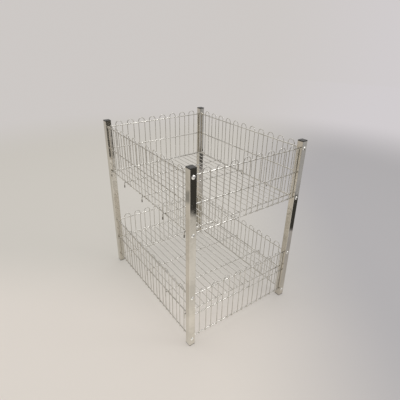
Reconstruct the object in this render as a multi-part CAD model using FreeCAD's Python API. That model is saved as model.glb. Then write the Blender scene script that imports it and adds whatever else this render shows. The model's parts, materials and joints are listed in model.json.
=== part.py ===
"""Two-tier wire dump bin: square-tube posts, bolted wire panels and hook-on wire floors.

Each short end is a welded frame: two posts with the end panels' rails butted on their inner faces.
The long panels are bolted between the two ends, through the posts and into ferrules on their rails.
Every panel has an upright against each of its posts, from its bottom rail to its top rail.
Each tier has a wire floor whose cross wires hook over two rails of the long panels and lift off.

X runs along the long sides, Y along the short ends and Z up.  The origin is on the ground, at the
middle of the footprint.  Lengths are in millimetres.
"""

import FreeCAD
import Part

import math
import os

Vector = FreeCAD.Vector

# Overall size
bin_width = 800.0          # over the posts, along X
bin_depth = 616.0          # over the posts, along Y
bin_height = 872.0         # ground to the top of the caps

# Posts, with a plastic cap and foot pushed into each tube
post_side = 30.0
post_wall = 1.5
post_corner = 1.5          # outer corner radius
cap_flange = 5.0           # height of a cap above its tube
cap_bevel = 1.0
foot_flange = 3.5          # height of a foot below its tube
foot_bevel = 0.8
bevel_limit = 0.8          # largest bevel, as a share of the posts' corner radius
plug_end_gap = 3.7         # end of a cap or foot in its tube to the nearest bolt hole
plug_core_gap = 2.0        # tube's inner wall to the plug's hollow core
plug_core_wall = 2.0
plug_fit = 0.1             # tube's inner wall to the plug's fins
fin_count = 3
fin_height = 1.6

# Wire panels
rail_dia = 6.0
hairpin_dia = 3.5
hairpin_width = 36.0       # leg to leg, centre to centre
hairpin_crown = 22.0       # crown's centreline above the top rail's
hairpin_tail = 3.0         # leg's end below the bottom rail's centreline
hairpin_margin = 31.0      # post's face to the first leg's centre
long_hairpins = 11
short_hairpins = 8
panel_rise = 243.0         # bottom rail to top rail
middle_rise = 127.0        # bottom rail to middle rail
lower_base = 38.0          # ground to the lower tier's bottom rails
upper_drop = 36.0          # top of the caps to the upper tier's top rails
upright_dia = 6.0          # panel's end wire, flush against the post

# Bolts through the posts, and the threaded ferrules that they draw up
bolt_dia = 6.0
bolt_head_dia = 17.0
bolt_head_height = 4.5
bolt_socket = 4.0          # across the flats of the hexagon
bolt_socket_depth = 2.8
bolt_hole_gap = 0.3        # bolt to the holes in its post, on the radius
bolt_end_gap = 0.5         # bolt's end to the end of the ferrule's bore
ferrule_wall = 2.45
ferrule_end = 1.0          # closed end, welded to the rail
ferrule_length = 6.0
thread_fit = 0.05          # bolt to the ferrule's bore, on the radius

# Hook-on floors
cross_dia = 5.0
floor_dia = 3.5
floor_pitch = 33.5
floor_overhang = 2.5       # floor wire's end past the last cross wire's centre
floor_side_gap = 2.0       # least distance from a floor wire to a long rail
cross_step = 3             # hairpin pitches from the middle cross wire to the next
cross_side_gap = 0.8       # last cross wire to the ferrules and uprights
hook_gap = 6.0             # hook's tail to the hairpins
hook_bend = 10.0           # centreline radius
hook_drop = 28.5           # tail's tip below the cross wire's centreline
seat_gap = 0.3             # hook to the rail that it sits on

# Worked out from the sizes above
post_x = (bin_width - post_side) / 2.0
post_y = (bin_depth - post_side) / 2.0
inner_x = post_x - post_side / 2.0
inner_y = post_y - post_side / 2.0
tube_base = foot_flange
tube_top = bin_height - cap_flange
bore_side = post_side - 2.0 * post_wall
bore_corner = max(post_corner - post_wall, 0.2)
bolt_hole_dia = bolt_dia + 2.0 * bolt_hole_gap
ferrule_bore = bolt_dia + 2.0 * thread_fit
upper_base = bin_height - upper_drop - panel_rise
leg_offset = (rail_dia + hairpin_dia) / 2.0
hook_reach = leg_offset + (hairpin_dia + cross_dia) / 2.0 + hook_gap
long_pitch = (2.0 * (inner_x - hairpin_margin) - hairpin_width) / (long_hairpins - 1)
short_pitch = (2.0 * (inner_y - hairpin_margin) - hairpin_width) / (short_hairpins - 1)
cross_edge = inner_x - max(ferrule_length, upright_dia) - cross_side_gap - cross_dia / 2.0
cross_places = [-cross_edge, -cross_step * long_pitch, 0.0, cross_step * long_pitch, cross_edge]
floor_steps = int((post_y - (rail_dia + floor_dia) / 2.0 - floor_side_gap) / floor_pitch)
bolt_length = post_side + ferrule_length - ferrule_end - bolt_end_gap

TIERS = {"lower": lower_base, "upper": upper_base}
RAIL_RISES = {"bottom": 0.0, "middle": middle_rise, "top": panel_rise}
BOLTED_RAILS = ["bottom", "top"]
FLOOR_RAILS = {"lower": "middle", "upper": "bottom"}
END_SIDES = {"left": -1, "right": 1}
LONG_SIDES = {"front": -1, "back": 1}


def rail_height(tier, rail):
    """Height of one rail's centreline."""
    return TIERS[tier] + RAIL_RISES[rail]


def bolt_heights():
    """Heights at which a post is drilled."""
    return [rail_height(tier, rail) for tier in TIERS for rail in BOLTED_RAILS]


def rounded_square(side, corner, base, height):
    """Upright square bar with rounded vertical edges, centred on the Z axis."""
    bar = Part.makeBox(side, side, height, Vector(-side / 2.0, -side / 2.0, base))
    uprights = [edge for edge in bar.Edges if abs(edge.tangentAt(edge.FirstParameter).z) > 0.5]
    return bar.makeFillet(corner, uprights)


def rod(start, end, diameter):
    """Straight round bar between two points."""
    run = end.sub(start)
    return Part.makeCylinder(diameter / 2.0, run.Length, start, run)


def bent_rod(edges, diameter):
    """Round bar along tangent edges that are in order."""
    start = edges[0].valueAt(edges[0].FirstParameter)
    heading = edges[0].tangentAt(edges[0].FirstParameter)
    section = Part.Wire([Part.Circle(start, heading, diameter / 2.0).toShape()])
    return Part.Wire(edges).makePipeShell([section], True, False)


def line(start, end):
    """Straight edge."""
    return Part.LineSegment(start, end).toShape()


def arc(start, middle, end):
    """Circular edge through three points."""
    return Part.Arc(start, middle, end).toShape()


def post():
    """Square tube, drilled along X for the bolts."""
    height = tube_top - tube_base
    tube = rounded_square(post_side, post_corner, tube_base, height)
    tube = tube.cut(rounded_square(bore_side, bore_corner, tube_base, height))
    for level in bolt_heights():
        start = Vector(-post_side, 0.0, level)
        tube = tube.cut(rod(start, Vector(post_side, 0.0, level), bolt_hole_dia))
    return tube


def end_plug(flange, bevel, tube_end, level):
    """Cap or foot: a flange as wide as the post at z below 0, and a finned hollow plug above it.

    The plug stops short of the bolt hole at the given level, seen from the tube's end.
    """
    depth = abs(level - tube_end) - bolt_hole_dia / 2.0 - plug_end_gap
    plate = rounded_square(post_side, post_corner, -flange, flange)
    rim = [edge for edge in plate.Edges if edge.BoundBox.ZMax < bevel / 2.0 - flange]
    plate = plate.makeChamfer(min(bevel, bevel_limit * post_corner), rim)
    core_side = bore_side - 2.0 * plug_core_gap
    plug = rounded_square(core_side, bore_corner, 0.0, depth)
    fin_pitch = depth / fin_count
    for index in range(fin_count):
        base = (index + 0.5) * fin_pitch - fin_height / 2.0
        plug = plug.fuse(rounded_square(bore_side - 2.0 * plug_fit, bore_corner, base, fin_height))
    hollow_side = core_side - 2.0 * plug_core_wall
    hollow = rounded_square(hollow_side, bore_corner, 0.0, depth)
    return plate.fuse(plug.cut(hollow)).removeSplitter()


def bolt():
    """Mushroom-head bolt along -X, with the underside of its head at x = 0."""
    reach = bolt_head_dia / 2.0
    sphere = (reach ** 2 + bolt_head_height ** 2) / (2.0 * bolt_head_height)
    centre = Vector(bolt_head_height - sphere, 0.0, 0.0)
    box = Part.makeBox(bolt_head_height, bolt_head_dia, bolt_head_dia, Vector(0.0, -reach, -reach))
    head = Part.makeSphere(sphere, centre).common(box)
    corner = bolt_socket / math.sqrt(3.0)
    floor = bolt_head_height - bolt_socket_depth
    turns = [math.radians(60.0 * index) for index in range(7)]
    outline = [Vector(floor, corner * math.cos(turn), corner * math.sin(turn)) for turn in turns]
    hexagon = Part.Face(Part.makePolygon(outline)).extrude(Vector(bolt_head_height, 0.0, 0.0))
    shank = rod(Vector(-bolt_length, 0.0, 0.0), Vector(floor / 2.0, 0.0, 0.0), bolt_dia)
    return head.cut(hexagon).fuse(shank).removeSplitter()


def ferrule(level, side_x, side_y):
    """Sleeve with a blind threaded bore on a long rail's end, flat against the post."""
    mouth = Vector(side_x * inner_x, side_y * post_y, level)
    end = Vector(side_x * (inner_x - ferrule_length), side_y * post_y, level)
    bore_end = end.add(Vector(side_x * ferrule_end, 0.0, 0.0))
    sleeve = rod(end, mouth, ferrule_bore + 2.0 * ferrule_wall)
    return sleeve.cut(rod(bore_end, mouth, ferrule_bore))


def long_rail(tier, rail, side_y):
    """Rail along X: it ends at its ferrules, or at the panel's uprights if it has none."""
    trim = ferrule_length if rail in BOLTED_RAILS else upright_dia
    end = Vector(inner_x - trim, side_y * post_y, rail_height(tier, rail))
    return rod(Vector(-end.x, end.y, end.z), end, rail_dia)


def short_rail(tier, rail, side_x):
    """Rail along Y, butted on the inner faces of two posts; a middle rail ends at the uprights."""
    trim = upright_dia if rail == "middle" else 0.0
    end = Vector(side_x * post_x, inner_y - trim, rail_height(tier, rail))
    return rod(Vector(end.x, -end.y, end.z), end, rail_dia)


def upright(tier, x, y, end_gap):
    """Wire along Z at the end of a panel, whose ends stand that gap from the outer rails' centrelines."""
    low = rail_height(tier, "bottom") + end_gap
    high = rail_height(tier, "top") - end_gap
    return rod(Vector(x, y, low), Vector(x, y, high), upright_dia)


def tier_uprights(tier):
    """Uprights of a tier's four panels, against the two inner faces of each post."""
    ferrule_radius = ferrule_bore / 2.0 + ferrule_wall
    pieces = []
    for side_x in END_SIDES.values():
        for side_y in LONG_SIDES.values():
            long_x = side_x * (inner_x - upright_dia / 2.0)
            short_y = side_y * (inner_y - upright_dia / 2.0)
            pieces.append(upright(tier, long_x, side_y * post_y, ferrule_radius))
            pieces.append(upright(tier, side_x * post_x, short_y, rail_dia / 2.0))
    return pieces


def hairpin(middle, across):
    """Upright wire with two legs and a round crown; middle is its place on the bottom rail."""
    half = across.multiply(hairpin_width / 2.0)
    foot = middle.sub(Vector(0.0, 0.0, hairpin_tail))
    shoulder = middle.add(Vector(0.0, 0.0, panel_rise + hairpin_crown - hairpin_width / 2.0))
    crown = middle.add(Vector(0.0, 0.0, panel_rise + hairpin_crown))
    return bent_rod([
        line(foot.sub(half), shoulder.sub(half)),
        arc(shoulder.sub(half), crown, shoulder.add(half)),
        line(shoulder.add(half), foot.add(half)),
    ], hairpin_dia)


def long_hairpin_row(tier, side_y):
    """Hairpins welded on the outside of a long panel's rails."""
    plane = side_y * (post_y + leg_offset)
    first = -long_pitch * (long_hairpins - 1) / 2.0
    places = [first + index * long_pitch for index in range(long_hairpins)]
    return [hairpin(Vector(place, plane, TIERS[tier]), Vector(1.0, 0.0, 0.0)) for place in places]


def short_hairpin_row(tier, side_x):
    """Hairpins welded on the outside of an end panel's rails."""
    plane = side_x * (post_x + leg_offset)
    first = -short_pitch * (short_hairpins - 1) / 2.0
    places = [first + index * short_pitch for index in range(short_hairpins)]
    return [hairpin(Vector(plane, place, TIERS[tier]), Vector(0.0, 1.0, 0.0)) for place in places]


def cross_height(tier):
    """Height of a floor's cross wires, which sit on two rails of the long panels."""
    seat = rail_height(tier, FLOOR_RAILS[tier])
    return seat + rail_dia / 2.0 + seat_gap + cross_dia / 2.0


def cross_wire(tier, place):
    """Wire along Y whose ends bend down outside the long rails as hooks."""
    level = cross_height(tier)
    tail_y = post_y + hook_reach
    bend_y = tail_y - hook_bend
    slant = hook_bend * math.sqrt(0.5)
    profile = [(tail_y, -hook_drop), (tail_y, -hook_bend), (bend_y + slant, slant - hook_bend), (bend_y, 0.0)]
    front = [Vector(place, -y, level + z) for y, z in profile]
    back = [Vector(place, y, level + z) for y, z in profile]
    return bent_rod([
        line(front[0], front[1]),
        arc(front[1], front[2], front[3]),
        line(front[3], back[3]),
        arc(back[3], back[2], back[1]),
        line(back[1], back[0]),
    ], cross_dia)


def floor_wire(tier, step):
    """Wire along X, welded on top of the cross wires."""
    level = cross_height(tier) + (cross_dia + floor_dia) / 2.0
    end = Vector(cross_edge + floor_overhang, step * floor_pitch, level)
    return rod(Vector(-end.x, end.y, end.z), end, floor_dia)


def corner_nodes():
    """Posts, caps, feet and bolts of the four corners."""
    nodes = {}
    for long_name, side_y in LONG_SIDES.items():
        for end_name, side_x in END_SIDES.items():
            corner = long_name + "_" + end_name
            place = Vector(side_x * post_x, side_y * post_y, 0.0)
            cap = end_plug(cap_flange, cap_bevel, tube_top, max(bolt_heights()))
            cap.rotate(Vector(), Vector(1.0, 0.0, 0.0), 180.0)
            cap.translate(Vector(0.0, 0.0, tube_top))
            foot = end_plug(foot_flange, foot_bevel, tube_base, min(bolt_heights()))
            foot.translate(Vector(0.0, 0.0, tube_base))
            bolts = []
            for level in bolt_heights():
                piece = bolt()
                if side_x < 0:
                    piece.rotate(Vector(), Vector(0.0, 0.0, 1.0), 180.0)
                piece.translate(Vector(side_x * post_side / 2.0, 0.0, level))
                bolts.append(piece)
            nodes["post_" + corner] = [post()]
            nodes["cap_" + corner] = [cap]
            nodes["foot_" + corner] = [foot]
            nodes["bolts_" + corner] = bolts
            for kind in ("post_", "cap_", "foot_", "bolts_"):
                for piece in nodes[kind + corner]:
                    piece.translate(place)
    return nodes


def panel_nodes():
    """Rails, uprights, ferrules and hairpins of the eight panels."""
    nodes = {}
    for tier in TIERS:
        nodes[tier + "_uprights"] = tier_uprights(tier)
        for name, side in LONG_SIDES.items():
            panel = tier + "_" + name
            for rail in RAIL_RISES:
                nodes[panel + "_" + rail + "_rail"] = [long_rail(tier, rail, side)]
            nodes[panel + "_hairpins"] = long_hairpin_row(tier, side)
            nodes[panel + "_ferrules"] = [
                ferrule(rail_height(tier, rail), end, side)
                for rail in BOLTED_RAILS for end in END_SIDES.values()
            ]
        for name, side in END_SIDES.items():
            panel = tier + "_" + name
            for rail in RAIL_RISES:
                nodes[panel + "_" + rail + "_rail"] = [short_rail(tier, rail, side)]
            nodes[panel + "_hairpins"] = short_hairpin_row(tier, side)
    return nodes


def floor_nodes():
    """Cross wires and floor wires of the two hook-on floors."""
    nodes = {}
    steps = range(-floor_steps, floor_steps + 1)
    for tier in TIERS:
        nodes[tier + "_floor_cross_wires"] = [cross_wire(tier, place) for place in cross_places]
        nodes[tier + "_floor_wires"] = [floor_wire(tier, step) for step in steps]
    return nodes


def main():
    """Write one STEP file per node."""
    os.makedirs("parts", exist_ok=True)
    nodes = {}
    nodes.update(corner_nodes())
    nodes.update(panel_nodes())
    nodes.update(floor_nodes())
    for name, pieces in nodes.items():
        shape = pieces[0] if len(pieces) == 1 else Part.makeCompound(pieces)
        state = "valid" if shape.isValid() else "NOT VALID"
        shape.exportStep(os.path.join("parts", name + ".step"))
        print(name, len(shape.Solids), "solids", state, round(shape.Volume))


main()
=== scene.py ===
"""Looks of a two-tier wire dump bin: chromed posts, wire panels, wire floors, bolts and plastic caps.

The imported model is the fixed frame.  Everything that is added takes its place from the frame's
nodes, and its own sizes from the named values of the class that models it.  Lengths are in metres.
"""

import json
import logging
import math
from dataclasses import dataclass, replace
from enum import Enum
from typing import Callable, Iterator, Sequence

import bmesh
import bpy
from mathutils import Matrix, Vector


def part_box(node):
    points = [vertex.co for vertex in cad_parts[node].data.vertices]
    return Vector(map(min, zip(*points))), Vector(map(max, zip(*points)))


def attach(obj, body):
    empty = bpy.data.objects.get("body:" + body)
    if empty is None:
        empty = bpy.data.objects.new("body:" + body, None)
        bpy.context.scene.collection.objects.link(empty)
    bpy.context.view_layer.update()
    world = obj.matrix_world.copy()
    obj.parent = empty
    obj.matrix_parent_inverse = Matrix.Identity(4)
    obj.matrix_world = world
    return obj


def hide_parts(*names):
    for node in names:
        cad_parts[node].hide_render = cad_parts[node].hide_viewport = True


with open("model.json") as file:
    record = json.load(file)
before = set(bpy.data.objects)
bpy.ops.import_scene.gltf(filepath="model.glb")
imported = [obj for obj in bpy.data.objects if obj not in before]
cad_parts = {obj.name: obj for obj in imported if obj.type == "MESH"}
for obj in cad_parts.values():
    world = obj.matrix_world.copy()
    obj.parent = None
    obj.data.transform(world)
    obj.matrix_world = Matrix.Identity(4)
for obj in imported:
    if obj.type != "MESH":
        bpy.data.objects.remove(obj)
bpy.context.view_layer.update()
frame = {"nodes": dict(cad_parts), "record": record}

LOG = logging.getLogger("dump_bin")
NODES = frame["nodes"]
Triple = tuple[float, float, float]
Colour = Triple
Socket = bpy.types.NodeSocket
UP = Vector((0.0, 0.0, 1.0))
TOUCH = 1e-5               # two heights closer than this are the same
PARALLEL = 0.99            # unit vectors with a larger product point the same way
OPEN = 1000.0              # an edge this far out is no edge


class Slot(Enum):
    """Material slots of the record."""

    TUBE = "chrome_tube"
    WIRE = "chrome_wire"
    FASTENER = "plated_fastener"
    PLASTIC = "black_plastic"


class Body(Enum):
    """Bodies that the pieces ride on."""

    FRAME = "frame"
    UPPER_FLOOR = "upper_floor"
    LOWER_FLOOR = "lower_floor"


class Tier(Enum):
    """Baskets, from the ground up."""

    LOWER = "lower"
    UPPER = "upper"


class Rail(Enum):
    """Horizontal wires of a panel."""

    BOTTOM = "bottom"
    MIDDLE = "middle"
    TOP = "top"


class Side(Enum):
    """Sides of the bin."""

    FRONT = ("front", 0, -1)
    BACK = ("back", 0, 1)
    LEFT = ("left", 1, -1)
    RIGHT = ("right", 1, 1)

    def __init__(self, label: str, along: int, sign: int) -> None:
        """Keep what sets the side apart.

        Args:
            label: Name used in the nodes.
            along: Axis of the side's rails: 0 for X, 1 for Y.
            sign: Side of the middle on which the panel stands.
        """
        self.label = label
        self.along = along
        self.across = 1 - along        # axis square to the panel
        self.sign = sign


def corners() -> Iterator[tuple[str, Side]]:
    """Go round the posts.

    Yields:
        A post's name, as its nodes end in it, and the end of the bin that it belongs to.
    """
    for long_side in (Side.FRONT, Side.BACK):
        for end in (Side.LEFT, Side.RIGHT):
            yield long_side.label + "_" + end.label, end


def along_axis(axis: int, length: float = 1.0) -> Vector:
    """Vector of a length along X, Y or Z."""
    return Vector([length if index == axis else 0.0 for index in range(3)])


def turn_from_up(heading: Vector) -> Matrix:
    """Turn that takes the Z axis to a heading."""
    return UP.rotation_difference(heading).to_matrix().to_4x4()


# ---------------------------------------------------------------------------------------------
# Modelling tools
# ---------------------------------------------------------------------------------------------


def select_only(obj: bpy.types.Object) -> None:
    """Make one object the only selected and active one.

    Args:
        obj: The object to select.
    """
    bpy.ops.object.select_all(action="DESELECT")
    obj.select_set(True)
    bpy.context.view_layer.objects.active = obj


def edit(obj: bpy.types.Object) -> None:
    """Open an object in edit mode with nothing selected.

    Args:
        obj: The object to edit.
    """
    select_only(obj)
    bpy.ops.object.mode_set(mode="EDIT")
    bpy.ops.mesh.select_all(action="DESELECT")


def close_edit() -> None:
    """Go back to object mode."""
    bpy.ops.object.mode_set(mode="OBJECT")


def select_kind(obj: bpy.types.Object, kind: str, wanted: Callable[[object], bool]) -> None:
    """Select only the faces or edges that pass a test, in edit mode.

    Args:
        obj: The object in edit mode.
        kind: FACE or EDGE.
        wanted: Test of a face or an edge.
    """
    bpy.ops.mesh.select_mode(type=kind)
    bpy.ops.mesh.select_all(action="DESELECT")
    mesh = bmesh.from_edit_mesh(obj.data)
    for element in mesh.faces if kind == "FACE" else mesh.edges:
        element.select = wanted(element)
    mesh.select_flush_mode()
    bmesh.update_edit_mesh(obj.data)


def select_faces(obj: bpy.types.Object, wanted: Callable[[bmesh.types.BMFace], bool]) -> None:
    """Select only the faces that pass a test, in edit mode."""
    select_kind(obj, "FACE", wanted)


def select_edges(obj: bpy.types.Object, wanted: Callable[[bmesh.types.BMEdge], bool]) -> None:
    """Select only the edges that pass a test, in edit mode."""
    select_kind(obj, "EDGE", wanted)


def facing(face: bmesh.types.BMFace, direction: Vector, height: float) -> bool:
    """Whether a face looks one way and lies at one height along it.

    Args:
        face: The face.
        direction: Unit vector that the face looks along.
        height: Place of the face along that vector.

    Returns:
        True if both hold.
    """
    level = abs(face.calc_center_median().dot(direction) - height) < TOUCH
    return level and face.normal.dot(direction) > PARALLEL


def extrude(offset: Vector) -> None:
    """Extrude the selected faces by an offset."""
    bpy.ops.mesh.extrude_region_move(TRANSFORM_OT_translate={"value": tuple(offset)})


def resize(factors: Sequence[float]) -> None:
    """Scale what is selected in edit mode about the origin, along X, Y and Z."""
    bpy.ops.transform.resize(value=tuple(factors), center_override=(0.0, 0.0, 0.0))


def step_in(factor: float) -> None:
    """Leave the selected faces' outline behind and scale them about the Z axis, in their plane."""
    extrude(Vector())
    resize((factor, factor, 1.0))


def apply_place(obj: bpy.types.Object) -> None:
    """Move an object's place, turn and scale into its mesh."""
    select_only(obj)
    bpy.ops.object.transform_apply(location=True, rotation=True, scale=True)


def add_shape(operator: Callable[..., set[str]], **settings: object) -> bpy.types.Object:
    """Add a primitive with nothing else selected, and with its place in its mesh.

    Args:
        operator: Operator that adds it.
        settings: The operator's settings.

    Returns:
        The new object.
    """
    bpy.ops.object.select_all(action="DESELECT")
    operator(**settings)
    shape = bpy.context.active_object
    apply_place(shape)
    return shape


def apply_modifiers(obj: bpy.types.Object) -> None:
    """Apply every modifier of an object, in order.

    Args:
        obj: The object.
    """
    select_only(obj)
    for modifier in list(obj.modifiers):
        bpy.ops.object.modifier_apply(modifier=modifier.name)


def copy_at(source: bpy.types.Object, matrix: Matrix) -> bpy.types.Object:
    """Copy a finished shape with its own mesh.

    Args:
        source: The shape to copy.
        matrix: Where the copy goes.

    Returns:
        The copy, with its place still on the object.
    """
    copy = source.copy()
    copy.data = source.data.copy()
    bpy.context.scene.collection.objects.link(copy)
    copy.matrix_world = matrix @ source.matrix_world
    return copy


def join(parts: Sequence[bpy.types.Object], name: str) -> bpy.types.Object:
    """Join objects into one, with its place in its mesh.

    Args:
        parts: The objects.
        name: Name of the joined object.

    Returns:
        The joined object.
    """
    bpy.ops.object.select_all(action="DESELECT")
    for part in parts:
        part.select_set(True)
    bpy.context.view_layer.objects.active = parts[0]
    if len(parts) > 1:
        bpy.ops.object.join()
    joined = bpy.context.view_layer.objects.active
    joined.name = name
    joined.data.name = name
    apply_place(joined)
    return joined


def smooth(obj: bpy.types.Object, degrees: float) -> None:
    """Shade an object smooth, with edges sharper than an angle kept."""
    select_only(obj)
    bpy.ops.object.shade_smooth_by_angle(angle=math.radians(degrees))


def discard(obj: bpy.types.Object) -> None:
    """Delete a pattern shape once its copies are made."""
    bpy.data.objects.remove(obj, do_unlink=True)


def finish_piece(obj: bpy.types.Object, body: Body, material: bpy.types.Material) -> None:
    """Give a modelled piece its body and material.

    Args:
        obj: The piece.
        body: Body that it rides on.
        material: Its material.
    """
    obj.data.materials.clear()
    obj.data.materials.append(material)
    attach(obj, body.value)
    LOG.info("%s: %d faces", obj.name, len(obj.data.polygons))


# ---------------------------------------------------------------------------------------------
# Shader tools
# ---------------------------------------------------------------------------------------------


class Nodes:
    """Short way to add and link the nodes of one tree."""

    column_width = 220.0

    def __init__(self, tree: bpy.types.NodeTree) -> None:
        """Start with an empty tree.

        Args:
            tree: The tree to fill.
        """
        self.tree = tree
        self.tree.nodes.clear()
        self.column = 0.0

    def add(self, kind: str, inputs: dict | None = None, **settings: object) -> bpy.types.Node:
        """Add a node.

        Args:
            kind: Type of the node.
            inputs: Values or output sockets for its inputs, by name or index.
            settings: Values of the node's own properties.

        Returns:
            The node.
        """
        node = self.tree.nodes.new(kind)
        node.location = (self.column, 0.0)
        self.column += self.column_width
        for key, value in settings.items():
            setattr(node, key, value)
        for key, value in (inputs or {}).items():
            self.feed(node.inputs[key], value)
        return node

    def feed(self, socket: Socket, value: object) -> None:
        """Link an output to a socket, or set the socket's value.

        Args:
            socket: The input socket.
            value: An output socket, or a value.
        """
        if isinstance(value, Socket):
            self.tree.links.new(value, socket)
        elif isinstance(value, tuple) and len(value) == 3 and socket.type == "RGBA":
            socket.default_value = (*value, 1.0)
        else:
            socket.default_value = value

    def math(self, operation: str, first: object, second: object) -> Socket:
        """Result of an operation on two values or sockets."""
        return self.add("ShaderNodeMath", {0: first, 1: second}, operation=operation).outputs[0]

    def vector(self, operation: str, *operands: object) -> Socket:
        """Result of an operation on vectors, as a number where the operation gives one."""
        node = self.add("ShaderNodeVectorMath", dict(enumerate(operands)), operation=operation)
        return node.outputs["Value" if operation in ("DOT_PRODUCT", "LENGTH") else "Vector"]

    def place(self, kind: str = "Object") -> Socket:
        """Coordinates of the shaded point."""
        return self.add("ShaderNodeTexCoord").outputs[kind]

    def height(self, vector: Socket) -> Socket:
        """Upward part of a vector."""
        return self.add("ShaderNodeSeparateXYZ", {0: vector}).outputs["Z"]

    def noise(self, place: Socket, scale: object, detail: object) -> Socket:
        """Noise at a place."""
        inputs = {"Vector": place, "Scale": scale, "Detail": detail}
        return self.add("ShaderNodeTexNoise", inputs).outputs["Fac"]

    def effect(self, group: bpy.types.NodeTree, **values: object) -> Socket:
        """Output of a shared effect, placed with its own values."""
        return self.add("ShaderNodeGroup", values, node_tree=group).outputs[0]

    def ramp(
        self, value: object, start: float, end: float, low: float = 0.0, high: float = 1.0
    ) -> Socket:
        """Map a value smoothly from one range to another.

        Args:
            value: The value or socket.
            start: Value that gives the low result.
            end: Value that gives the high result.
            low: Result at the start.
            high: Result at the end.

        Returns:
            The mapped value.
        """
        inputs = {"Value": value, "From Min": start, "From Max": end, "To Min": low, "To Max": high}
        return self.add("ShaderNodeMapRange", inputs, interpolation_type="SMOOTHSTEP").outputs["Result"]

    def mix_colour(self, share: object, first: object, second: object) -> Socket:
        """Mix two colours.

        Args:
            share: Share of the second colour.
            first: First colour or socket.
            second: Second colour or socket.

        Returns:
            The mixed colour.
        """
        node = self.add("ShaderNodeMix", {"Factor": share}, data_type="RGBA")
        colours = [socket for socket in node.inputs if socket.type == "RGBA"]
        for socket, value in zip(colours, (first, second)):
            self.feed(socket, value)
        return next(socket for socket in node.outputs if socket.type == "RGBA")

    def bump(self, height: Socket, distance: float, **below: Socket) -> Socket:
        """Normal of a relief of a height in metres, with the normal below it as Normal, if any."""
        inputs = {"Strength": 1.0, "Distance": distance, "Height": height, **below}
        return self.add("ShaderNodeBump", inputs).outputs["Normal"]

    def light(self, kind: str, colour: object, strength: float = 1.0) -> Socket:
        """Shader that gives off light: Emission, or Background in the surroundings."""
        return self.add("ShaderNode" + kind, {"Color": colour, "Strength": strength}).outputs[0]

    def mix_shader(self, share: object, first: Socket, second: Socket) -> Socket:
        """Mix of two shaders, by the share of the second."""
        return self.add("ShaderNodeMixShader", {0: share, 1: first, 2: second}).outputs[0]

    def principled(self, **inputs: object) -> None:
        """End a material in a Principled BSDF; underscores in an input's name stand for spaces."""
        shader = self.add("ShaderNodeBsdfPrincipled", {key.replace("_", " "): inputs[key] for key in inputs})
        self.add("ShaderNodeOutputMaterial", {"Surface": shader.outputs["BSDF"]})


def new_material(name: str) -> tuple[bpy.types.Material, Nodes]:
    """Make a material with an empty tree.

    Args:
        name: Name of the material.

    Returns:
        The material and its nodes.
    """
    material = bpy.data.materials.new(name)
    material.use_nodes = True
    return material, Nodes(material.node_tree)


class EffectLibrary:
    """Node groups that several materials share."""

    smudge_detail = 4.0
    spot_scale = 7.0               # scale of the small spots in a smudge, over its own
    spot_share = 0.35              # their weight
    spot_detail = 3.0
    smudge_level = 1.15            # noise at which a smudge of no coverage starts
    smudge_fade = (-0.12, 0.22)    # noise round that level where the smudge comes in
    dust_detail = 5.0
    dust_slope = (0.3, 1.0)        # upward part of the normal where dust starts and where it is full
    dust_speckle = (0.35, 0.7)     # noise where dust starts and where it is full

    def __init__(self) -> None:
        """Build every group once."""
        self.grain = self._grain()
        self.smudge = self._smudge()
        self.dust = self._dust()

    @staticmethod
    def _start(name: str, output: str, **inputs: float | Triple) -> tuple[Nodes, Sequence[Socket]]:
        """Make an empty group with one float output.

        Args:
            name: Name of the group.
            output: Name of the output.
            inputs: Default value of each input, a number or a vector.

        Returns:
            The group's nodes, and its inputs as sockets by name.
        """
        group = bpy.data.node_groups.new(name, "ShaderNodeTree")
        for key, value in inputs.items():
            kind = "NodeSocketFloat" if isinstance(value, float) else "NodeSocketVector"
            group.interface.new_socket(key, in_out="INPUT", socket_type=kind).default_value = value
        group.interface.new_socket(output, in_out="OUTPUT", socket_type="NodeSocketFloat")
        nodes = Nodes(group)
        return nodes, nodes.add("NodeGroupInput").outputs

    def _grain(self) -> bpy.types.NodeTree:
        """Fine surface texture, drawn out along an axis: Height is from 0 to 1.

        Returns:
            The group.
        """
        nodes, given = self._start(
            "Surface grain", "Height", Stretch=(1.0, 1.0, 1.0), Scale=100.0, Detail=2.0
        )
        drawn = nodes.vector("MULTIPLY", nodes.place(), given["Stretch"])
        nodes.add("NodeGroupOutput", {"Height": nodes.noise(drawn, given["Scale"], given["Detail"])})
        return nodes.tree

    def _smudge(self) -> bpy.types.NodeTree:
        """Patches where hands and cloths have dulled a finish: Mask is from 0 to 1.

        Returns:
            The group.
        """
        nodes, given = self._start("Handling smudges", "Mask", Scale=12.0, Coverage=0.5)
        place = nodes.place()
        broad = nodes.noise(place, given["Scale"], self.smudge_detail)
        spot_scale = nodes.math("MULTIPLY", given["Scale"], self.spot_scale)
        spots = nodes.noise(place, spot_scale, self.spot_detail)
        both = nodes.math("ADD", broad, nodes.math("MULTIPLY", spots, self.spot_share))
        level = nodes.math("SUBTRACT", self.smudge_level, given["Coverage"])
        mask = nodes.ramp(nodes.math("SUBTRACT", both, level), *self.smudge_fade)
        nodes.add("NodeGroupOutput", {"Mask": mask})
        return nodes.tree

    def _dust(self) -> bpy.types.NodeTree:
        """Dust that settles on faces that look up: Mask is from 0 to 1.

        Returns:
            The group.
        """
        nodes, given = self._start("Settled dust", "Mask", Amount=0.3, Scale=60.0)
        upward = nodes.height(nodes.add("ShaderNodeNewGeometry").outputs["Normal"])
        noise = nodes.noise(nodes.place(), given["Scale"], self.dust_detail)
        amount = nodes.math("MULTIPLY", nodes.ramp(upward, *self.dust_slope), given["Amount"])
        mask = nodes.math("MULTIPLY", amount, nodes.ramp(noise, *self.dust_speckle))
        nodes.add("NodeGroupOutput", {"Mask": mask})
        return nodes.tree


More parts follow.
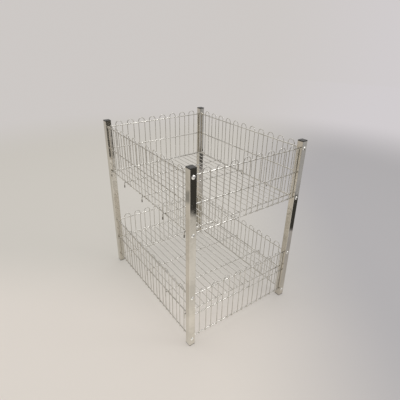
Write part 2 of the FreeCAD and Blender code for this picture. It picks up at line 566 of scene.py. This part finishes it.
@dataclass(frozen=True)
class MetalFinish:
    """Plated steel: colour, gloss and the fine relief of its surface."""

    name: str
    bright: Colour
    dull: Colour
    gloss_rough: float         # roughness where the plating is clean
    dull_rough: float          # roughness where it is smudged
    smudge_scale: float
    smudge_coverage: float
    grain_scale: float
    grain_height: float        # metres
    wave_scale: float
    wave_height: float         # metres
    dust: float
    grain_stretch: Triple = (1.0, 1.0, 1.0)
    darkened_below: float | None = None           # height under which the plating is painted darker and rougher, in metres
    # colour and roughness painted on the plating below that height
    darkened: Colour = (0.16, 0.145, 0.12)
    darkened_rough: float = 0.45
    darkened_fade: float = 0.003                  # height over which the darker colour begins

    def build(self, effects: EffectLibrary) -> bpy.types.Material:
        """Make the material.

        Args:
            effects: The shared node groups.

        Returns:
            The material.
        """
        material, nodes = new_material(self.name)
        smudge = nodes.effect(effects.smudge, Scale=self.smudge_scale, Coverage=self.smudge_coverage)
        dust = nodes.effect(effects.dust, Amount=self.dust)
        worn = nodes.math("MAXIMUM", smudge, dust)
        colour = nodes.mix_colour(worn, self.bright, self.dull)
        rough = nodes.ramp(worn, 0.0, 1.0, self.gloss_rough, self.dull_rough)
        # the lowest part is painted a darker, rougher colour
        if self.darkened_below is not None:
            height = nodes.height(nodes.place())
            darkened = nodes.ramp(height, self.darkened_below, self.darkened_below - self.darkened_fade)
            colour = nodes.mix_colour(darkened, colour, self.darkened)
            rough = nodes.math("MAXIMUM", rough, nodes.math("MULTIPLY", darkened, self.darkened_rough))
        wave = nodes.effect(effects.grain, Scale=self.wave_scale, Detail=0.0)
        grain = nodes.effect(effects.grain, Stretch=self.grain_stretch, Scale=self.grain_scale)
        normal = nodes.bump(grain, self.grain_height, Normal=nodes.bump(wave, self.wave_height))
        nodes.principled(Base_Color=colour, Metallic=1.0, Roughness=rough, Normal=normal)
        return material


@dataclass(frozen=True)
class PlasticFinish:
    """Moulded plastic with a fine spark-eroded grain."""

    name: str
    base: Colour
    scuffed: Colour
    rough_low: float
    rough_high: float
    smudge_scale: float
    smudge_coverage: float
    smudge_share: float        # how far a smudge takes the colour to the scuffed one
    grain_scale: float
    grain_height: float        # metres
    dust: float
    dust_scale: float

    def build(self, effects: EffectLibrary) -> bpy.types.Material:
        """Make the material.

        Args:
            effects: The shared node groups.

        Returns:
            The material.
        """
        material, nodes = new_material(self.name)
        smudge = nodes.effect(effects.smudge, Scale=self.smudge_scale, Coverage=self.smudge_coverage)
        dust = nodes.effect(effects.dust, Amount=self.dust, Scale=self.dust_scale)
        pale = nodes.math("MAXIMUM", nodes.math("MULTIPLY", smudge, self.smudge_share), dust)
        colour = nodes.mix_colour(pale, self.base, self.scuffed)
        rough = nodes.ramp(smudge, 0.0, 1.0, self.rough_low, self.rough_high)
        normal = nodes.bump(nodes.effect(effects.grain, Scale=self.grain_scale), self.grain_height)
        nodes.principled(Base_Color=colour, Roughness=rough, Normal=normal)
        return material


class Finishes:
    """Every finish of the bin, by what it covers."""

    hooked_node = "upper_floor_cross_wires"
    hook_end = 0.016           # length of a hook's darker end

    def __init__(self, effects: EffectLibrary) -> None:
        """Build the materials.

        Args:
            effects: The shared node groups.
        """
        self.tube = MetalFinish(
            name="Bright chromed tube",
            bright=(0.68, 0.645, 0.572),
            dull=(0.58, 0.55, 0.483),
            gloss_rough=0.06,
            dull_rough=0.16,
            smudge_scale=9.0,
            smudge_coverage=0.5,
            grain_stretch=(1.0, 1.0, 0.01),
            grain_scale=900.0,
            grain_height=0.000004,
            wave_scale=22.0,
            wave_height=0.00015,
            dust=0.2,
        ).build(effects)
        wire = MetalFinish(
            name="Bright chromed wire",
            bright=(0.69, 0.67, 0.62),
            dull=(0.55, 0.53, 0.48),
            gloss_rough=0.10,
            dull_rough=0.24,
            smudge_scale=25.0,
            smudge_coverage=0.55,
            grain_scale=700.0,
            grain_height=0.00001,
            wave_scale=60.0,
            wave_height=0.00006,
            dust=0.35,
        )
        self.wire = wire.build(effects)
        self.hooked_wire = replace(
            wire,
            name="Bright chromed wire with burnt hook ends",
            darkened_below=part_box(self.hooked_node)[0].z + self.hook_end,
        ).build(effects)
        self.weld = MetalFinish(
            name="Plated weld",
            bright=(0.66, 0.635, 0.575),
            dull=(0.48, 0.45, 0.39),
            gloss_rough=0.20,
            dull_rough=0.36,
            smudge_scale=180.0,
            smudge_coverage=0.6,
            grain_scale=1500.0,
            grain_height=0.00006,
            wave_scale=400.0,
            wave_height=0.0001,
            dust=0.3,
        ).build(effects)
        self.fastener = MetalFinish(
            name="Bright zinc-plated steel",
            bright=(0.92, 0.91, 0.87),
            dull=(0.78, 0.76, 0.70),
            gloss_rough=0.26,
            dull_rough=0.38,
            smudge_scale=110.0,
            smudge_coverage=0.5,
            grain_scale=1800.0,
            grain_height=0.000006,
            wave_scale=90.0,
            wave_height=0.00003,
            dust=0.2,
        ).build(effects)
        self.plastic = PlasticFinish(
            name="Moulded black plastic",
            base=(0.018, 0.016, 0.012),
            scuffed=(0.062, 0.057, 0.045),
            rough_low=0.42,
            rough_high=0.62,
            smudge_scale=90.0,
            smudge_coverage=0.45,
            smudge_share=0.5,
            grain_scale=2200.0,
            grain_height=0.00004,
            dust=0.35,
            dust_scale=400.0,
        ).build(effects)

    def dress_nodes(self) -> None:
        """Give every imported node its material."""
        by_slot = {
            Slot.TUBE.value: self.tube,
            Slot.WIRE.value: self.wire,
            Slot.FASTENER.value: self.fastener,
            Slot.PLASTIC.value: self.plastic,
        }
        for row in frame["record"]["subparts"]:
            mesh = NODES[row["node"]].data
            mesh.materials.clear()
            mesh.materials.append(by_slot[row["material_slot"]])
        NODES[self.hooked_node].data.materials[0] = self.hooked_wire


# ---------------------------------------------------------------------------------------------
# Pieces
# ---------------------------------------------------------------------------------------------


@dataclass
class EndPlugs:
    """Moulded caps and feet of the four posts."""

    finishes: Finishes
    corner: float = 0.0015         # radius of the upright edges
    corner_segments: int = 5
    rim: float = 0.0008            # radius round the outer face
    rim_segments: int = 4
    crown: float = 0.0005          # rise of a cap's middle over its rim
    sole_margin: float = 0.0045    # width of the rim that a foot stands on
    sole_recess: float = 0.0015
    core_side: float = 0.023
    core_wall: float = 0.002
    fin_side: float = 0.0268
    fin_height: float = 0.0016
    fins: int = 3
    crown_rings: tuple[float, ...] = (0.85, 0.7, 0.55, 0.4, 0.25, 0.1)     # widths over the cap's
    crease: float = 35.0           # sharper edges stay sharp, in degrees

    def _flange(self, side: float, height: float) -> bpy.types.Object:
        """Square plate with rounded edges: its tube side is at z 0 and its outer side looks up.

        Args:
            side: Width of the post.
            height: Thickness of the plate.

        Returns:
            The plate.
        """
        plate = add_shape(
            bpy.ops.mesh.primitive_cube_add,
            size=1.0,
            location=(0.0, 0.0, height / 2.0),
            scale=(side, side, height),
        )
        edit(plate)
        select_edges(plate, lambda edge: abs(edge.verts[0].co.z - edge.verts[1].co.z) > height / 2.0)
        bpy.ops.mesh.bevel(offset=self.corner, segments=self.corner_segments, affect="EDGES")
        select_edges(plate, lambda edge: all(abs(v.co.z - height) < TOUCH for v in edge.verts))
        bpy.ops.mesh.bevel(offset=self.rim, segments=self.rim_segments, affect="EDGES")
        close_edit()
        return plate

    def _plug(self, plate: bpy.types.Object, side: float, reach: float) -> None:
        """Draw the finned hollow plug down from a plate.

        Args:
            plate: The plate.
            side: Width of the plate.
            reach: Length of the plug.
        """
        pitch = reach / self.fins
        web = (pitch - self.fin_height) / 2.0
        swell = self.fin_side / self.core_side
        edit(plate)
        select_faces(plate, lambda face: facing(face, -UP, 0.0))
        step_in(self.core_side / side)
        for _ in range(self.fins):
            extrude(UP * -web)
            step_in(swell)
            extrude(UP * -self.fin_height)
            step_in(1.0 / swell)
            extrude(UP * -web)
        step_in(1.0 - 2.0 * self.core_wall / self.core_side)
        extrude(UP * reach)
        close_edit()
        smooth(plate, self.crease)

    def cap_shape(self, side: float, flange: float, reach: float) -> bpy.types.Object:
        """Cap with a softly crowned top.

        Args:
            side: Width of the post.
            flange: Height of the cap over the tube.
            reach: Length of its plug.

        Returns:
            The cap, with its tube side at z 0.
        """
        base = flange - self.crown
        plate = self._flange(side, base)
        edit(plate)
        select_faces(plate, lambda face: facing(face, UP, base))
        width, level = 1.0, 0.0
        for next_width in self.crown_rings:
            step_in(next_width / width)
            next_level = self.crown * math.cos(math.pi / 2.0 * next_width) ** 2
            bpy.ops.transform.translate(value=tuple(UP * (next_level - level)))
            width, level = next_width, next_level
        close_edit()
        self._plug(plate, side, reach)
        return plate

    def foot_shape(self, side: float, flange: float, reach: float) -> bpy.types.Object:
        """Foot with a recessed sole, drawn with its sole up.

        Args:
            side: Width of the post.
            flange: Height of the foot below the tube.
            reach: Length of its plug.

        Returns:
            The foot, with its tube side at z 0.
        """
        plate = self._flange(side, flange)
        edit(plate)
        select_faces(plate, lambda face: facing(face, UP, flange))
        step_in(1.0 - 2.0 * self.sole_margin / side)
        extrude(UP * -self.sole_recess)
        close_edit()
        self._plug(plate, side, reach)
        return plate

    def build(self) -> None:
        """Model a cap and a foot once, and put a copy in each post."""
        patterns = {}
        for corner, _ in corners():
            tube_low, tube_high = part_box("post_" + corner)
            middle = (tube_low + tube_high) / 2.0
            for kind in ("cap", "foot"):
                low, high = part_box(kind + "_" + corner)
                if kind == "cap":
                    flange, reach, level = high.z - tube_high.z, tube_high.z - low.z, tube_high.z
                    shape, posed = self.cap_shape, Matrix.Identity(4)
                else:
                    flange, reach, level = tube_low.z - low.z, high.z - tube_low.z, tube_low.z
                    shape, posed = self.foot_shape, Matrix.Rotation(math.pi, 4, "X")
                if kind not in patterns:
                    patterns[kind] = shape(tube_high.x - tube_low.x, flange, reach)
                place = Matrix.Translation(Vector((middle.x, middle.y, level)))
                piece = join([copy_at(patterns[kind], place @ posed)], "moulded_" + kind + "_" + corner)
                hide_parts(kind + "_" + corner)
                finish_piece(piece, Body.FRAME, self.finishes.plastic)
        for pattern in patterns.values():
            discard(pattern)


@dataclass
class Bolts:
    """Mushroom-head bolts through the posts."""

    finishes: Finishes
    shank: float = 0.003           # radius
    point: float = 0.0007          # chamfer of the shank's end
    rim: float = 0.0006            # straight edge of the head
    socket: float = 0.004          # across the flats
    socket_depth: float = 0.0028
    rings: int = 6
    segments: int = 36
    crease: float = 30.0           # sharper edges stay sharp, in degrees

    def _shape(self, radius: float, height: float, length: float) -> bpy.types.Object:
        """One bolt along +X, with the underside of its head at x 0.

        Args:
            radius: Radius of the head.
            height: Height of the head.
            length: Length of the shank.

        Returns:
            The bolt.
        """
        bolt = add_shape(
            bpy.ops.mesh.primitive_cylinder_add,
            vertices=self.segments,
            radius=radius,
            depth=self.rim,
            location=(0.0, 0.0, self.rim / 2.0),
        )
        rise = height - self.rim
        sphere = (radius ** 2 + rise ** 2) / (2.0 * rise)
        edit(bolt)
        select_faces(bolt, lambda face: facing(face, UP, self.rim))
        reach, level = radius, 0.0
        for ring in range(1, self.rings + 1):
            next_reach = radius * math.cos(math.pi / 2.0 * ring / (self.rings + 1))
            next_level = math.sqrt(sphere ** 2 - next_reach ** 2) - (sphere - rise)
            bpy.ops.mesh.inset(thickness=reach - next_reach, depth=next_level - level)
            reach, level = next_reach, next_level
        select_faces(bolt, lambda face: facing(face, -UP, 0.0))
        bpy.ops.mesh.inset(thickness=radius - self.shank)
        extrude(UP * (self.point - length))
        bpy.ops.mesh.inset(thickness=self.point, depth=self.point)
        close_edit()
        key = add_shape(
            bpy.ops.mesh.primitive_cylinder_add,
            vertices=6,                # hexagon
            radius=self.socket / math.sqrt(3.0),
            depth=2.0 * self.socket_depth,
            location=(0.0, 0.0, height),
        )
        cut = bolt.modifiers.new("socket", "BOOLEAN")
        cut.operation = "DIFFERENCE"
        cut.object = key
        cut.solver = "EXACT"
        apply_modifiers(bolt)
        discard(key)
        bolt.matrix_world = Matrix.Rotation(math.pi / 2.0, 4, "Y")
        apply_place(bolt)
        smooth(bolt, self.crease)
        return bolt

    def build(self) -> None:
        """Model a bolt once, and put four copies in each post."""
        rails = [
            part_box(tier.value + "_front_" + rail.value + "_rail")
            for tier in Tier for rail in (Rail.BOTTOM, Rail.TOP)
        ]
        pattern = None
        for corner, end in corners():
            node = "bolts_" + corner
            low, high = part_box(node)
            face = max(abs(spot.x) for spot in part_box("post_" + corner))
            outer, inner = max(abs(low.x), abs(high.x)), min(abs(low.x), abs(high.x))
            if pattern is None:
                pattern = self._shape((high.y - low.y) / 2.0, outer - face, face - inner)
            turn = Matrix.Rotation(0.0 if end.sign > 0 else math.pi, 4, "Z")
            copies = []
            for rail_low, rail_high in rails:
                place = Vector((end.sign * face, (low.y + high.y) / 2.0, (rail_low.z + rail_high.z) / 2.0))
                copies.append(copy_at(pattern, Matrix.Translation(place) @ turn))
            piece = join(copies, "mushroom_" + node)
            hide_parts(node)
            finish_piece(piece, Body.FRAME, self.finishes.fastener)
        discard(pattern)


@dataclass
class CrossWelds:
    """Nuggets of metal squeezed out where two crossing wires are welded."""

    finishes: Finishes
    hairpin_width: float = 0.036   # leg to leg
    long_hairpins: int = 11
    short_hairpins: int = 8
    floor_pitch: float = 0.0335
    floor_half_count: int = 8
    half_width: float = 0.0024     # along the rail
    half_height: float = 0.0027    # along the leg
    half_thickness: float = 0.0011
    segments: int = 8
    rings: int = 4
    waist: float = 1.18            # swell of a nugget half way from wire to wire
    waist_band: float = 0.1        # part of a nugget that counts as its waist
    wire_gap: float = 0.02         # points further apart belong to two cross wires
    crease: float = 80.0           # sharper edges stay sharp, in degrees

    def _nugget(self, along: int, across: int) -> bpy.types.Object:
        """One nugget with its squeezed waist, at the origin.

        Args:
            along: Axis of the wire that runs through.
            across: Axis from one wire to the other.

        Returns:
            The nugget.
        """
        nugget = add_shape(
            bpy.ops.mesh.primitive_uv_sphere_add, segments=self.segments, ring_count=self.rings, radius=1.0
        )
        nugget.matrix_world = turn_from_up(along_axis(across))
        apply_place(nugget)
        edit(nugget)
        select_edges(nugget, lambda edge: all(abs(v.co[across]) < self.waist_band for v in edge.verts))
        resize([1.0 if axis == across else self.waist for axis in range(3)])
        close_edit()
        sizes = {along: self.half_width, across: self.half_thickness}
        nugget.scale = [sizes.get(axis, self.half_height) for axis in range(3)]
        apply_place(nugget)
        return nugget

    @staticmethod
    def _repeat(nugget: bpy.types.Object, axis: int, pitch: float, count: int) -> None:
        """Repeat a nugget along an axis, from where it stands.

        Args:
            nugget: The nugget, which becomes the row.
            axis: Axis of the row.
            pitch: Distance from one copy to the next.
            count: Number of copies.
        """
        array = nugget.modifiers.new("row", "ARRAY")
        array.use_relative_offset = False
        array.use_constant_offset = True
        array.constant_offset_displace = along_axis(axis, pitch)
        array.count = count
        apply_modifiers(nugget)

    def _finish(self, row: bpy.types.Object, places: Sequence[Vector], name: str, body: Body) -> None:
        """Put a copy of a row at each place and make them one piece.

        Args:
            row: The row, which is deleted.
            places: Places of the copies.
            name: Name of the panel or floor.
            body: Body of the piece.
        """
        copies = [copy_at(row, Matrix.Translation(place)) for place in places]
        discard(row)
        piece = join(copies, "cross_welds_" + name)
        smooth(piece, self.crease)
        finish_piece(piece, body, self.finishes.weld)

    def panel(self, tier: Tier, side: Side) -> None:
        """Nuggets of one panel, at every crossing of a leg and a rail.

        Args:
            tier: Tier of the panel.
            side: Side of the panel.
        """
        name = tier.value + "_" + side.label
        count = self.long_hairpins if side.along == 0 else self.short_hairpins
        low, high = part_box(name + "_hairpins")
        wire = high[side.across] - low[side.across]
        span = high[side.along] - low[side.along] - wire
        pitch = (span - self.hairpin_width) / (count - 1)
        nugget = self._nugget(side.along, side.across)
        self._repeat(nugget, side.along, self.hairpin_width, 2)
        self._repeat(nugget, side.along, pitch, count)
        places = []
        for rail in Rail:
            rail_low, rail_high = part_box(name + "_" + rail.value + "_rail")
            place = Vector((0.0, 0.0, (rail_low.z + rail_high.z) / 2.0))
            place[side.along] = low[side.along] + wire / 2.0
            place[side.across] = rail_high[side.across] if side.sign > 0 else rail_low[side.across]
            places.append(place)
        self._finish(nugget, places, name, Body.FRAME)

    def floor(self, tier: Tier, body: Body) -> None:
        """Nuggets of one floor, at every crossing of a floor wire and a cross wire.

        Args:
            tier: Tier of the floor.
            body: Body of the floor.
        """
        name = tier.value + "_floor"
        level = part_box(name + "_wires")[0].z
        start = -self.floor_half_count * self.floor_pitch
        nugget = self._nugget(1, 2)
        self._repeat(nugget, 1, self.floor_pitch, 2 * self.floor_half_count + 1)
        places = [Vector((x, start, level)) for x in self._cross_places(name)]
        self._finish(nugget, places, name, body)

    def _cross_places(self, name: str) -> list[float]:
        """Centres of a floor's cross wires along X, read from its node.

        Args:
            name: Name of the floor.

        Returns:
            The centres, in order.
        """
        spots = sorted(vertex.co.x for vertex in NODES[name + "_cross_wires"].data.vertices)
        places, first, last = [], spots[0], spots[0]
        for spot in spots[1:]:
            if spot - last > self.wire_gap:
                places.append((first + last) / 2.0)
                first = spot
            last = spot
        places.append((first + last) / 2.0)
        return places

    def build(self) -> None:
        """Model the nuggets of every panel and floor."""
        for tier in Tier:
            for side in Side:
                self.panel(tier, side)
        self.floor(Tier.LOWER, Body.LOWER_FLOOR)
        self.floor(Tier.UPPER, Body.UPPER_FLOOR)


@dataclass
class FilletWelds:
    """Welds round the ends of a panel's rails and uprights, on what they stand on."""

    finishes: Finishes
    leg: float = 0.0022            # reach of a fillet along its wire
    edge_share: float = 0.06       # height of its straight edge, over that reach
    post_foot: float = 0.0022      # reach of a fillet over a post, beyond its wire
    ferrule_share: float = 0.92    # foot of a fillet on a ferrule's end, over the ferrule's radius
    tee_foot: float = 0.0007       # reach of a fillet over another wire, beyond its own
    tee_sink: float = 0.0012       # depth of that fillet's foot behind the other wire's front
    segments: int = 20
    ripple: float = 0.00018
    seed_step: int = 10            # from one end's ripples to the other's
    crease: float = 60.0           # sharper edges stay sharp, in degrees
    hollow: tuple[tuple[float, float], ...] = (    # rise over the leg, and share of the foot's reach there
        (0.12, 0.86),
        (0.34, 0.52),
        (0.62, 0.22),
        (1.0, 0.03),
    )

    def _fillet(self, rail: float, foot: float, seed: int) -> bpy.types.Object:
        """Hollow-faced ring round a rail along +Z, with its foot on the plane z 0.

        Args:
            rail: Radius of the rail.
            foot: Radius of the ring at its foot.
            seed: Seed of the ripples.

        Returns:
            The ring.
        """
        start = self.leg * self.edge_share
        ring = add_shape(
            bpy.ops.mesh.primitive_cylinder_add,
            vertices=self.segments,
            radius=foot,
            depth=start,
            location=(0.0, 0.0, start / 2.0),
        )
        edit(ring)
        select_faces(ring, lambda face: facing(face, UP, start))
        reach, level = foot, start
        for height, share in self.hollow:
            next_reach = rail + (foot - rail) * share
            next_level = start + (self.leg - start) * height
            bpy.ops.mesh.inset(thickness=reach - next_reach, depth=next_level - level)
            reach, level = next_reach, next_level
        middle = self.leg / 2.0
        select_edges(ring, lambda edge: 0.0 < sum(v.co.z for v in edge.verts) / 2.0 < middle)
        bpy.ops.transform.vertex_random(offset=self.ripple, normal=1.0, seed=seed)
        close_edit()
        smooth(ring, self.crease)
        return ring

    def _ring(self, end: Vector, heading: Vector, rail: float, foot: float, seed: int) -> bpy.types.Object:
        """Fillet at the end of a wire.

        Args:
            end: Middle of the wire's end.
            heading: Unit vector from the end into the wire.
            rail: Radius of the wire.
            foot: Radius of the fillet at its foot.
            seed: Seed of its ripples.

        Returns:
            The fillet.
        """
        ring = self._fillet(rail, foot, seed)
        ring.matrix_world = Matrix.Translation(end) @ turn_from_up(heading)
        return ring

    def _tee(self, end: Vector, heading: Vector, rail: float, seed: int) -> bpy.types.Object:
        """Fillet at the end of a wire that stands on another round wire, with the arguments of _ring."""
        return self._ring(end - heading * self.tee_sink, heading, rail, rail + self.tee_foot, seed)

    def panel(self, tier: Tier, side: Side) -> None:
        """Fillets of one panel: on its posts or ferrules, and on its uprights.

        Args:
            tier: Tier of the panel.
            side: Side of the panel.
        """
        name = tier.value + "_" + side.label
        boxes = {rail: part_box(name + "_" + rail.value + "_rail") for rail in Rail}
        radius = (boxes[Rail.MIDDLE][1].z - boxes[Rail.MIDDLE][0].z) / 2.0
        foot, seat = radius + self.post_foot, radius
        if side.along == 0:
            ferrule_low, ferrule_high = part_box(name + "_ferrules")
            seat = (ferrule_high.y - ferrule_low.y) / 2.0
            foot = seat * self.ferrule_share
        rings = []
        for index, sign in enumerate((-1, 1)):
            inward = along_axis(side.along, float(-sign))
            for rail, (low, high) in boxes.items():
                end = (low + high) / 2.0
                end[side.along] = high[side.along] if sign > 0 else low[side.along]
                seed = self.seed_step * index + len(rings)
                if rail is Rail.MIDDLE:
                    rings.append(self._tee(end, inward, radius, seed))
                    continue
                rings.append(self._ring(end, inward, radius, foot, seed))
                way = UP if rail is Rail.BOTTOM else -UP
                stand = end + way * seat
                stand[side.along] = sign * (boxes[Rail.MIDDLE][1][side.along] + radius)
                rings.append(self._tee(stand, way, radius, seed + 1))
        piece = join(rings, "end_welds_" + name)
        finish_piece(piece, Body.FRAME, self.finishes.weld)

    def build(self) -> None:
        """Model the fillets of every panel."""
        for tier in Tier:
            for side in Side:
                self.panel(tier, side)


# ---------------------------------------------------------------------------------------------
# Studio
# ---------------------------------------------------------------------------------------------


@dataclass(frozen=True)
class SoftBox:
    """Square lamp that points at the bin."""

    name: str
    place: Triple
    aim: Triple
    side: float
    power: float               # watts
    colour: Colour

    def build(self) -> None:
        """Add the lamp."""
        lamp = bpy.data.lights.new(self.name, "AREA")
        lamp.shape = "SQUARE"
        lamp.size = self.side
        lamp.energy = self.power
        lamp.color = self.colour
        obj = bpy.data.objects.new(self.name, lamp)
        obj.location = self.place
        obj.rotation_mode = "QUATERNION"
        obj.rotation_quaternion = (Vector(self.aim) - Vector(self.place)).to_track_quat("-Z", "Y")
        bpy.context.scene.collection.objects.link(obj)


@dataclass(frozen=True)
class FloorPatch:
    """Soft-edged rectangle of flat glowing colour on the studio floor that only the metal's reflections see:
    a painted reflection, in the paper's own axes.
    """

    side: tuple[float, float]      # from and to, towards the paper's right-hand edge
    depth: tuple[float, float]     # from and to, away from the front
    soft: float                    # width of the soft edge
    colour: Colour

    def mask(self, nodes: Nodes, side: Socket, depth: Socket) -> Socket:
        """Add the nodes that are 1 inside the patch and 0 outside.

        Args:
            nodes: Tree to add to.
            side: Place along the first axis.
            depth: Place along the second axis.

        Returns:
            The mask.
        """
        inside = None
        for value, (low, high) in ((side, self.side), (depth, self.depth)):
            for edge, outer in ((low, low - self.soft), (high, high + self.soft)):
                if abs(edge) < OPEN:
                    step = nodes.ramp(value, outer, edge)
                    inside = step if inside is None else nodes.math("MULTIPLY", inside, step)
        return inside


@dataclass
class Studio:
    """Pale floor, surroundings, lamps and camera."""

    # Tones of backdrop and paper: the right-hand paper is darker with painted shade, the front paper lighter
    # with a painted pool of lamp light, and the backdrop cooler on the right with painted cool light.
    background_left: Colour = (0.610, 0.580, 0.562)
    background_right: Colour = (0.640, 0.610, 0.625)
    floor_left: Colour = (0.610, 0.580, 0.530)
    shaded_floor_right: Colour = (0.450, 0.435, 0.440)
    lit_floor_front: Colour = (0.715, 0.662, 0.602)
    tone_start: float = 0.05                # bearing from the left tone ...
    tone_end: float = 0.55                  # ... to the right one
    tone_reach: float = 2.0                 # nearer than this, the tone changes with the place alone
    front_start: float = 0.20               # depth from which the front has a painted pool of lamp light ...
    front_end: float = -0.45                # ... up to this one
    ambient: Colour = (0.88, 0.88, 0.89)
    floor_radius: float = 9.0
    floor_segments: int = 96
    fade_start: float = 2.6                 # distance at which the floor starts to melt away ...
    fade_end: float = 4.6                   # ... and is the background
    fill_share: float = 0.45                # share of even light in the paper, which softens the shadow
    fill_level: float = 0.975               # what the lit paper returns of its colour
    paper_turn: float = 50.6                # azimuth of the paper's right-hand edge, in degrees
    painted_reflections: tuple[FloorPatch, ...] = (
        FloorPatch((-1.3, 0.25), (-1.25, -0.70), 0.35, (1.05, 1.02, 0.98)),     # painted reflection of the lamp's pool at the front
        FloorPatch((0.35, OPEN), (-OPEN, -0.50), 0.15, (0.80, 0.775, 0.75)),    # painted reflection of lit paper beside it
        FloorPatch((-1.52, -1.38), (-0.12, 0.10), 0.08, (0.33, 0.32, 0.30)),    # painted dark reflection to the left of the bin
        FloorPatch((1.20, OPEN), (-OPEN, OPEN), 0.04, (0.050, 0.048, 0.044)),   # painted dark reflection past the paper's edge
        FloorPatch((1.82, OPEN), (-0.65, OPEN), 0.05, (0.46, 0.46, 0.48)),      # painted pale reflection behind it
    )
    sky_azimuth: float = 95.0               # brightest side of the surroundings, in degrees
    sky_bright: Colour = (0.99, 0.98, 1.00)
    sky_dim: Colour = (0.20, 0.19, 0.18)
    sky_span: tuple[float, float] = (-0.95, 0.4)  # cosine of the angle to that side: dim, bright
    horizon: Colour = (0.62, 0.60, 0.59)
    horizon_span: tuple[float, float] = (0.42, 0.05)  # sine of the height where it starts, and is full
    soft_boxes: tuple[SoftBox, ...] = (
        SoftBox("ceiling_box", (-0.6, -0.3, 2.8), (0.0, 0.0, 0.4), 2.4, 12.0, (1.0, 0.99, 0.97)),
        SoftBox("side_box", (1.5, 1.1, 2.3), (0.1, 0.0, 0.5), 0.5, 6.0, (0.98, 0.99, 1.0)),
    )
    lens_mm: float = 30.543
    sensor_mm: float = 36.0
    camera_place: Triple = (1.296004, -0.908285, 1.303177)
    azimuth: float = 54.267
    elevation: float = 27.059
    roll: float = 1.071

    def paper_axes(self) -> tuple[Triple, Triple]:
        """Unit vectors of the paper, towards its right-hand edge and away from the front."""
        turn = math.radians(self.paper_turn)
        return (math.cos(turn), math.sin(turn), 0.0), (-math.sin(turn), math.cos(turn), 0.0)

    def floor(self) -> None:
        """Add the floor, which melts into the background far from the bin."""
        floor = add_shape(
            bpy.ops.mesh.primitive_circle_add,
            vertices=self.floor_segments,
            radius=self.floor_radius,
            fill_type="NGON",
        )
        floor.name = "studio_floor"
        material, nodes = new_material("Pale paper")
        place = nodes.place()
        distance = nodes.vector("LENGTH", place)
        side, depth = (nodes.vector("DOT_PRODUCT", place, axis) for axis in self.paper_axes())
        bearing = nodes.math("DIVIDE", side, nodes.math("MAXIMUM", distance, self.tone_reach))
        tone = nodes.ramp(bearing, self.tone_start, self.tone_end)
        # painted pool of lamp light at the front, painted shade on the right-hand paper
        front = nodes.ramp(depth, self.front_start, self.front_end)
        colour = nodes.mix_colour(
            tone, nodes.mix_colour(front, self.floor_left, self.lit_floor_front), self.shaded_floor_right
        )
        lit = nodes.add("ShaderNodeBsdfDiffuse", {"Color": colour}).outputs[0]
        paper = nodes.mix_shader(self.fill_share, lit, nodes.light("Emission", colour, self.fill_level))
        haze = nodes.light("Emission", nodes.mix_colour(tone, self.background_left, self.background_right))
        seen = nodes.mix_shader(nodes.ramp(distance, self.fade_start, self.fade_end), paper, haze)
        # glossy rays see painted reflections: flat glowing patches laid over the paper
        mirrored = nodes.add("ShaderNodeLightPath").outputs["Is Glossy Ray"]
        for patch in self.painted_reflections:
            share = nodes.math("MULTIPLY", patch.mask(nodes, side, depth), mirrored)
            seen = nodes.mix_shader(share, seen, nodes.light("Emission", patch.colour))
        nodes.add("ShaderNodeOutputMaterial", {"Surface": seen})
        floor.data.materials.append(material)

    def world(self) -> None:
        """Make the surroundings: even light, a plain backdrop, and a room that is brighter on one side."""
        world = bpy.data.worlds.new("Studio")
        world.use_nodes = True
        bpy.context.scene.world = world
        nodes = Nodes(world.node_tree)
        direction = nodes.place("Generated")
        heading = nodes.vector("NORMALIZE", nodes.vector("MULTIPLY", direction, (1.0, 1.0, 0.0)))
        turn = math.radians(self.sky_azimuth)
        bearing = nodes.vector("DOT_PRODUCT", heading, (math.cos(turn), math.sin(turn), 0.0))
        sky = nodes.mix_colour(nodes.ramp(bearing, *self.sky_span), self.sky_dim, self.sky_bright)
        low = nodes.ramp(nodes.height(direction), *self.horizon_span)
        # the backdrop's right-hand tone is painted cool light
        across = nodes.vector("DOT_PRODUCT", heading, self.paper_axes()[0])
        tone = nodes.ramp(across, self.tone_start, self.tone_end)
        backdrop = nodes.mix_colour(tone, self.background_left, self.background_right)
        even = nodes.light("Background", self.ambient)
        room = nodes.light("Background", nodes.mix_colour(low, sky, self.horizon))
        rays = nodes.add("ShaderNodeLightPath").outputs
        unseen = nodes.mix_shader(rays["Is Glossy Ray"], even, room)
        all_rays = nodes.mix_shader(rays["Is Camera Ray"], unseen, nodes.light("Background", backdrop))
        nodes.add("ShaderNodeOutputWorld", {"Surface": all_rays})

    def camera(self) -> None:
        """Add the camera at the view that the bin is shown from."""
        data = bpy.data.cameras.new("camera")
        data.lens = self.lens_mm
        data.sensor_width = self.sensor_mm
        camera = bpy.data.objects.new("camera", data)
        turn, tilt, roll = (math.radians(value) for value in (self.azimuth, self.elevation, self.roll))
        back = Vector((math.sin(turn) * math.cos(tilt), -math.cos(turn) * math.cos(tilt), math.sin(tilt)))
        level_right = Vector((math.cos(turn), math.sin(turn), 0.0))
        level_up = back.cross(level_right)
        right = level_right * math.cos(roll) + level_up * math.sin(roll)
        up = level_up * math.cos(roll) - level_right * math.sin(roll)
        matrix = Matrix((right, up, back)).transposed().to_4x4()
        matrix.translation = Vector(self.camera_place)
        camera.matrix_world = matrix
        bpy.context.scene.collection.objects.link(camera)
        bpy.context.scene.camera = camera

    def build(self) -> None:
        """Set up everything round the bin."""
        bpy.context.scene.view_settings.view_transform = "Standard"
        self.camera()
        self.floor()
        self.world()
        for soft_box in self.soft_boxes:
            soft_box.build()


def main() -> None:
    """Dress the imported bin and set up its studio."""
    logging.basicConfig(level=logging.INFO, format="%(name)s %(message)s")
    Studio().build()
    finishes = Finishes(EffectLibrary())
    finishes.dress_nodes()
    EndPlugs(finishes).build()
    Bolts(finishes).build()
    CrossWelds(finishes).build()
    FilletWelds(finishes).build()


if __name__ == "__main__":
    main()
